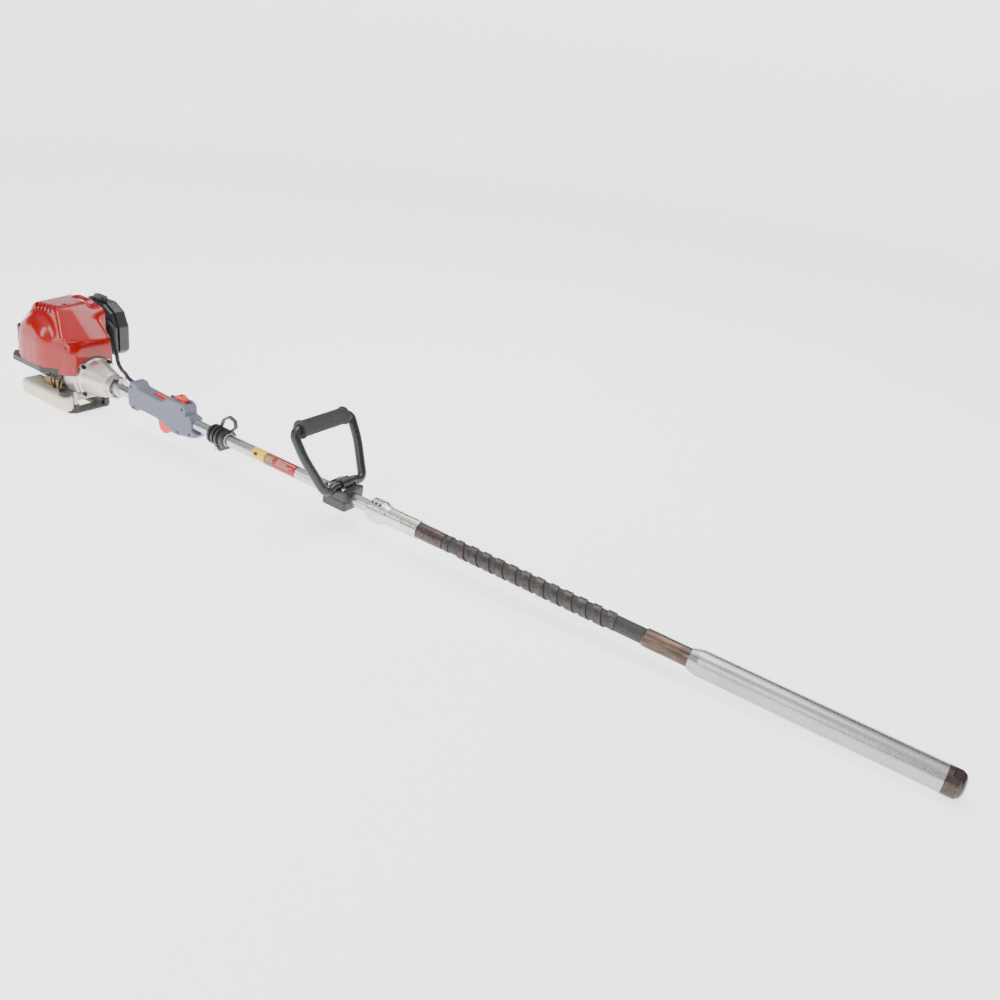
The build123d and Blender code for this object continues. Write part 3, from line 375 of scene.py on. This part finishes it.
def cowl_skin(inset, grid):
    """Closed skin of the cover field drawn in by inset: rays from the heart of the engine."""
    faces, directions, index = [], [], {}
    steps = np.linspace(-1, 1, grid + 1)
    warp = np.tan(steps * math.pi / 4)

    def corner(v):
        key = tuple(np.round(v, 6))
        if key not in index:
            index[key] = len(directions)
            directions.append(v)
        return index[key]

    for axis in range(3):
        for sign in (-1, 1):
            for i in range(grid):
                for k in range(grid):
                    quad = []
                    for a, b in ((i, k), (i + 1, k), (i + 1, k + 1), (i, k + 1)):
                        v = np.zeros(3)
                        v[axis], v[(axis + 1) % 3], v[(axis + 2) % 3] = sign, warp[a], warp[b]
                        quad.append(corner(v))
                    faces.append(quad if sign > 0 else quad[::-1])
    way = np.array(directions)
    way /= np.linalg.norm(way, axis=1)[:, None]
    near, far = np.zeros(len(way)), np.full(len(way), RAY_LENGTH)
    for _ in range(HALVINGS):
        middle = (near + far) / 2
        outside = cowl_field(COWL_HEART + way * middle[:, None]) > -inset
        far, near = np.where(outside, middle, far), np.where(outside, near, middle)
    return COWL_HEART + way * near[:, None], faces


cowl = mesh_piece("cowl_shell", *cowl_skin(0.0, OUTER_GRID), "red_cover")
cut(cowl, mesh_piece("tool", *cowl_skin(COWL_WALL, INNER_GRID), "red_cover"))
cut(cowl, box_piece("tool", (-500, -300, -400), (-113, 300, COWL_LOW), "red_cover"))
cut(cowl, box_piece("tool", (-120, -300, -400), (200, 300, 12), "red_cover"))
cut(cowl, box_piece("tool", (-500, 47, -400), (200, 400, 400), "red_cover"))
cut(cowl, lathe("tool", [(-140, 56), (-95, 56), (-95, 50.6), (-60, 50.6)], "red_cover"))
cut(cowl, lathe("tool", [(-300, 49.5), (-215, 49.5)], "red_cover"))
for vent in range(TOP_VENTS):
    at = TOP_VENT_X + vent * TOP_VENT_PITCH
    cut(cowl, box_piece("tool", (at, -90, 138), (at + TOP_VENT_WIDTH, -47, 151),
                        "red_cover", (1, 2)))
for vent in range(CORNER_VENTS):
    low = CORNER_VENT_Z + vent * CORNER_VENT_PITCH
    cut(cowl, box_piece("tool", (-290, -110, low), (-229, -72, low + CORNER_VENT_HEIGHT),
                        "red_cover"))
cut(cowl, lathe("tool", [(0, 5.4), (30, 5.4)], "red_cover", (-152, -22, 148), (0, 0, 1)))
cowl.data.shade_smooth()
cowl.data.set_sharp_from_angle(angle=math.radians(32))
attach(cowl, "machine")
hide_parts("top_cowl")

# ---------------------------------------------------------------- hose, wrap and sleeve
HOSE_R, SLEEVE_END, ADAPTER_START, HOSE_STEP = 14.0, 877.0, 1380.0, 4.0
WRAP_START, WRAP_END, WRAP_PITCH, WRAP_WIDTH, WRAP_THICK = 960.0, 1302.0, 28.4, 17.0, 2.2

hose_stations = np.arange(SLEEVE_END - 2, ADAPTER_START + 2, HOSE_STEP)
hose = lathe("hose_skin", [(s, HOSE_R) for s in hose_stations], "hose_rubber", around=64)
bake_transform(hose)
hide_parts("hose_rear", "hose_front")


def wound_strip():
    """Flat strip wound on the hose, with rolled edges and a tab at its front end."""
    section = [(-0.5, 0.05), (-0.5, 0.8), (-0.46, 1.05), (-0.2, 0.94), (0.2, 0.94), (0.46, 1.05),
               (0.5, 0.8), (0.5, 0.05)]
    turns = (WRAP_END - WRAP_START - WRAP_WIDTH) / WRAP_PITCH
    count = int(turns * 60)
    points = []
    for i in range(count + 1):
        angle = 2 * math.pi * turns * i / count + 0.9
        centre = WRAP_START + WRAP_WIDTH / 2 + WRAP_PITCH * turns * i / count
        taper = min(1.0, (count - i) / 18 + 0.25, i / 10 + 0.4)
        for across, lift in section:
            r = HOSE_R + 0.1 + WRAP_THICK * lift
            points.append((centre + across * WRAP_WIDTH * taper, r * math.cos(angle),
                           r * math.sin(angle)))
    return mesh_piece("hose_strip", points, ring_faces(count + 1, len(section)), "strip_steel", 30)


strip = wound_strip()
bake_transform(strip)
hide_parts("hose_wrap_rear", "hose_wrap_front")

# ---------------------------------------------------------------- loop handle sleeve
LOOP_X, LOOP_LEAN, LOOP_BAR_Z, LOOP_HEIGHT = 685.0, math.radians(31.3), 23.0, 125.0
SLEEVE_R, SLEEVE_HALF = 16.0, 62.0
loop_top = (LOOP_X - LOOP_HEIGHT * math.sin(LOOP_LEAN), 0,
            LOOP_BAR_Z + LOOP_HEIGHT * math.cos(LOOP_LEAN))


def sleeve_ribs(s, angle):
    """Fine lengthwise ribs between the two end flanges."""
    return 0.35 * math.cos(angle * 36) if abs(s) < SLEEVE_HALF - 8 else 0.0


sleeve_profile = [(-SLEEVE_HALF, 9.0), (-SLEEVE_HALF, 16.4), (-SLEEVE_HALF + 1.4, 18.3),
                  (-SLEEVE_HALF + 3, 18.7), (-SLEEVE_HALF + 5, 18.2), (-SLEEVE_HALF + 6.4, 16.4),
                  (-SLEEVE_HALF + 9, SLEEVE_R)]
sleeve_profile += [(s, SLEEVE_R) for s in np.linspace(-48, 48, 9)]
sleeve_profile += [(-s, r) for s, r in sleeve_profile[6::-1]]
sleeve = lathe("loop_sleeve", sleeve_profile, "foam_grip", loop_top, (0, 1, 0), 216, sleeve_ribs)
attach(sleeve, "loop")
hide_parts("loop_grip")

# ---------------------------------------------------------------- label bars on the tube
TUBE_R = 13.0
BAND_FOOT = 0.02


def tube_band(name, start, end, low, high, finish, lift=0.12):
    """Part of a thin sleeve on the tube between two X stations and two angles in degrees."""
    angles = np.radians(np.linspace(low, high, 40))
    points = []
    for r in (TUBE_R + lift, TUBE_R + BAND_FOOT):
        for s in (start, end):
            points += [(s, -r * math.cos(a), r * math.sin(a)) for a in angles]
    n = len(angles)
    faces = []
    for k in range(n - 1):
        faces += [(k, k + 1, n + k + 1, n + k),
                  (2 * n + k + 1, 2 * n + k, 3 * n + k, 3 * n + k + 1),
                  (k + 1, k, 2 * n + k, 2 * n + k + 1),
                  (n + k, n + k + 1, 3 * n + k + 1, 3 * n + k)]
    faces += [(0, n, 3 * n, 2 * n), (2 * n - 1, n - 1, 3 * n - 1, 4 * n - 1)]
    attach(mesh_piece(name, points, faces, finish, 30), "machine")


tube_band("label_caution", 443, 479, -55, 110, "label_yellow")
tube_band("label_middle", 479.2, 506, -55, 110, "label_brown")
tube_band("label_front", 506.2, 566, -55, 110, "label_red")
for number, (start, end, low, high) in enumerate([
        (450, 460, 10, 40), (484, 502, 50, 58), (484, 500, 34, 42), (484, 502, 18, 26),
        (512, 560, 62, 72), (512, 540, 44, 52), (512, 556, 30, 36), (512, 548, 14, 20)]):
    tube_band(f"label_bar_{number}", start, end, low, high,
              "black_plastic" if number == 0 else "label_pale", 0.2)

# ---------------------------------------------------------------- starter rope
rope = pipe("starter_rope", [(-239.8, 36, 25.5), (-240.2, 40, 26.5), (-241, 46, 28)], 1.7,
            "cable_black", 12, 4)
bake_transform(rope)

# ---------------------------------------------------------------- hoses and plates below the cover
details = [
    pipe("fuel_line_supply", [(-132, -58, -34), (-134, -60, -18), (-128, -57, -2), (-132, -52, 12)],
         2.6, "cable_black"),
    pipe("fuel_line_return", [(-150, -62, -35), (-158, -63, -16), (-148, -60, 2), (-150, -54, 14)],
         2.2, "cable_black"),
    pipe("ignition_lead", [(-206, -50, -6), (-190, -60, -12), (-168, -62, -4), (-142, -58, -8),
                           (-124, -54, 4)], 2.8, "cable_black"),
    box_piece("heat_plate_rear", (-236, -66, -4), (-196, -63, 22), "heat_bronze", (4, 2)),
    box_piece("heat_plate_front", (-190, -60, -34), (-128, -57, -14), "heat_bronze", (2, 2)),
]
for detail in details:
    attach(detail, "machine")

# ---------------------------------------------------------------- camera, floor and light
EYE = row(1747, -1257, 836)
SENSOR_WIDTH, LENS = 36.0, 33.48
camera_data = bpy.data.cameras.new("camera")
camera_data.sensor_width = SENSOR_WIDTH
camera_data.lens = LENS
camera = bpy.data.objects.new("camera", camera_data)
bpy.context.scene.collection.objects.link(camera)
look_right, look_up = heading(0.8231, 0.5486, 0.1469), heading(-0.3563, 0.2974, 0.8858)
look_back = look_right.cross(look_up)
turned = Matrix((look_right, look_up, look_back)).transposed().to_4x4()
camera.matrix_world = Matrix.Translation(EYE) @ turned
bpy.context.scene.camera = camera

FLOOR_R, SWEEP_R, FLOOR_X = 9.0, 2.6, 0.9
FLOOR_GLOW = 1.8
backdrop = [(0.001, 0.0), (3.0, 0.0), (FLOOR_R, 0.0)]
backdrop += [(FLOOR_R + SWEEP_R * math.sin(a), SWEEP_R - SWEEP_R * math.cos(a))
             for a in np.linspace(0.1, math.pi / 2, 12)]
AROUND = 96
floor_points = [(r * math.cos(2 * math.pi * k / AROUND) + FLOOR_X,
                 r * math.sin(2 * math.pi * k / AROUND), h)
                for r, h in backdrop for k in range(AROUND)]
floor_mesh = bpy.data.meshes.new("floor")
floor_mesh.from_pydata(floor_points, [], ring_faces(len(backdrop), AROUND, caps=False))
floor_mesh.shade_smooth()
paper = material("floor_paper", (0.93, 0.93, 0.93), (0.915, 0.915, 0.915), 0.9, 3, bump=0.0)
paper.node_tree.nodes["Principled BSDF"].inputs["Emission Color"].default_value = (1, 1, 1, 1)
paper.node_tree.nodes["Principled BSDF"].inputs["Emission Strength"].default_value = FLOOR_GLOW
floor_mesh.materials.append(paper)
floor = bpy.data.objects.new("floor", floor_mesh)
bpy.context.scene.collection.objects.link(floor)

world = bpy.data.worlds.new("studio")
bpy.context.scene.world = world
world.use_nodes = True
tree = world.node_tree
sky_place = tree.nodes.new("ShaderNodeTexCoord")
sky_split = tree.nodes.new("ShaderNodeSeparateXYZ")
sky_ramp = tree.nodes.new("ShaderNodeValToRGB")
tree.links.new(sky_place.outputs["Generated"], sky_split.inputs["Vector"])
tree.links.new(sky_split.outputs["Z"], sky_ramp.inputs["Fac"])
tree.links.new(sky_ramp.outputs["Color"], tree.nodes["Background"].inputs["Color"])
tree.nodes["Background"].inputs["Strength"].default_value = 1.5
sky_ramp.color_ramp.elements[0].position = 0.3
sky_ramp.color_ramp.elements[0].color = (0.06, 0.06, 0.065, 1)
sky_ramp.color_ramp.elements[1].position = 0.95
sky_ramp.color_ramp.elements[1].color = (1, 1, 1, 1)
middle = sky_ramp.color_ramp.elements.new(0.62)
middle.color = (0.16, 0.16, 0.17, 1)


def lamp(name, place, target, size, power, high):
    """Soft rectangular lamp aimed at a point."""
    data = bpy.data.lights.new(name, "AREA")
    data.shape = "RECTANGLE"
    data.size, data.size_y = size, high
    data.energy = power
    made = bpy.data.objects.new(name, data)
    bpy.context.scene.collection.objects.link(made)
    made.location = place
    aim = Vector(target) - Vector(place)
    made.rotation_euler = aim.to_track_quat("-Z", "Y").to_euler()


lamp("key", (0.6, 0.9, 2.6), (0.9, 0, 0), 1.6, 60, 2.6)
lamp("side", (1.2, -2.2, 1.7), (0.6, 0, 0.1), 0.9, 26, 1.6)
lamp("engine_strip", (-0.2, -1.1, 1.0), (-0.02, 0, 0.15), 0.25, 5, 0.7)
